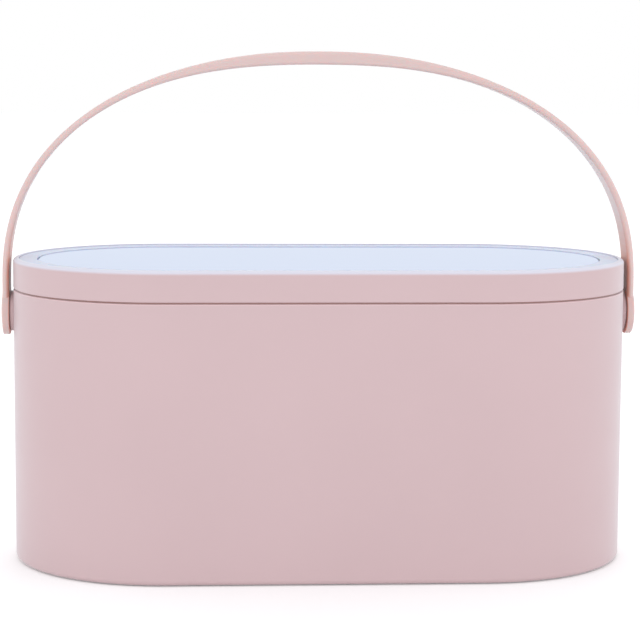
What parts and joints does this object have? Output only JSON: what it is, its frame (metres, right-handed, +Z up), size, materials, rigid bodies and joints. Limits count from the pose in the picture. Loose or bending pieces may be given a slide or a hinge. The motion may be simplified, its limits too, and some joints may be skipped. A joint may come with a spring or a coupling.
{
  "type": "makeup storage case with handle",
  "caption": "Oblong portable make-up case with a swinging bail handle and a lift-off lid that carries a lit mirror.",
  "frame": {"origin": "on the resting plane, under the middle of the case", "axes": "+X along the case's length through both handle pivots, +Y towards the back, +Z up"},
  "size_m": [0.2688, 0.128, 0.2146],
  "materials": {
    "pink_plastic": "fine satin moulding",
    "lid_plastic": "fine satin moulding",
    "handle_plastic": "satin moulding",
    "grey_rubber": "matte",
    "pale_rubber": "matte",
    "pin_metal": "satin, in the case's colour",
    "steel": "bright zinc",
    "white_plastic": "matte",
    "frosted_plastic": "frosted, light passing",
    "mirror_glass": "silvered float glass",
    "strip_film": "flexible circuit film",
    "lamp_body": "cast resin",
    "copper_foil": "bare foil",
    "green_board": "lacquered board",
    "black_chip": "moulded resin",
    "battery_foil": "laminated foil pouch",
    "black_foam": "closed-cell foam",
    "red_wire": "wire sleeve"
  },
  "bodies": {
    "case": {"case_shell": "pink_plastic", "rubber_feet": "grey_rubber", "pivot_pin_left": "pin_metal", "pivot_pin_right": "pin_metal", "backing_washers": "steel", "pin_clips": "steel", "friction_washers": "white_plastic"},
    "handle": {"handle": "handle_plastic", "handle_arm_left": "handle_plastic", "handle_arm_right": "handle_plastic"},
    "lid": {"lid_frame": "lid_plastic", "lid_seal": "pale_rubber", "light_ring": "frosted_plastic", "mirror_glass": "mirror_glass", "mirror_carrier": "white_plastic", "lamp_strip": "strip_film", "lamps": "lamp_body", "touch_pad": "copper_foil", "lid_tray": "pink_plastic", "control_board": "green_board", "board_chips": "black_chip", "charging_socket": "steel", "battery_cell": "battery_foil", "battery_foam": "black_foam", "battery_leads": "red_wire", "lamp_leads": "white_plastic", "lid_screws": "steel", "stand_pin": "steel"},
    "stand": {"fold_out_stand": "pink_plastic", "stand_bumpers": "grey_rubber"}
  },
  "joints": [
    {"name": "handle_swing", "type": "hinge", "parent": "case", "child": "handle", "pos_m": [0, 0, 0.105], "axis": [1, 0, 0], "range_deg": [-125, 125]},
    {"name": "lid_lift", "type": "slide", "parent": "case", "child": "lid", "axis": [0, 0, 1], "range_m": [0, 0.005]},
    {"name": "stand_fold", "type": "hinge", "parent": "lid", "child": "stand", "pos_m": [0, 0.03, 0.1054], "axis": [1, 0, 0], "range_deg": [0, 65]}
  ]
}
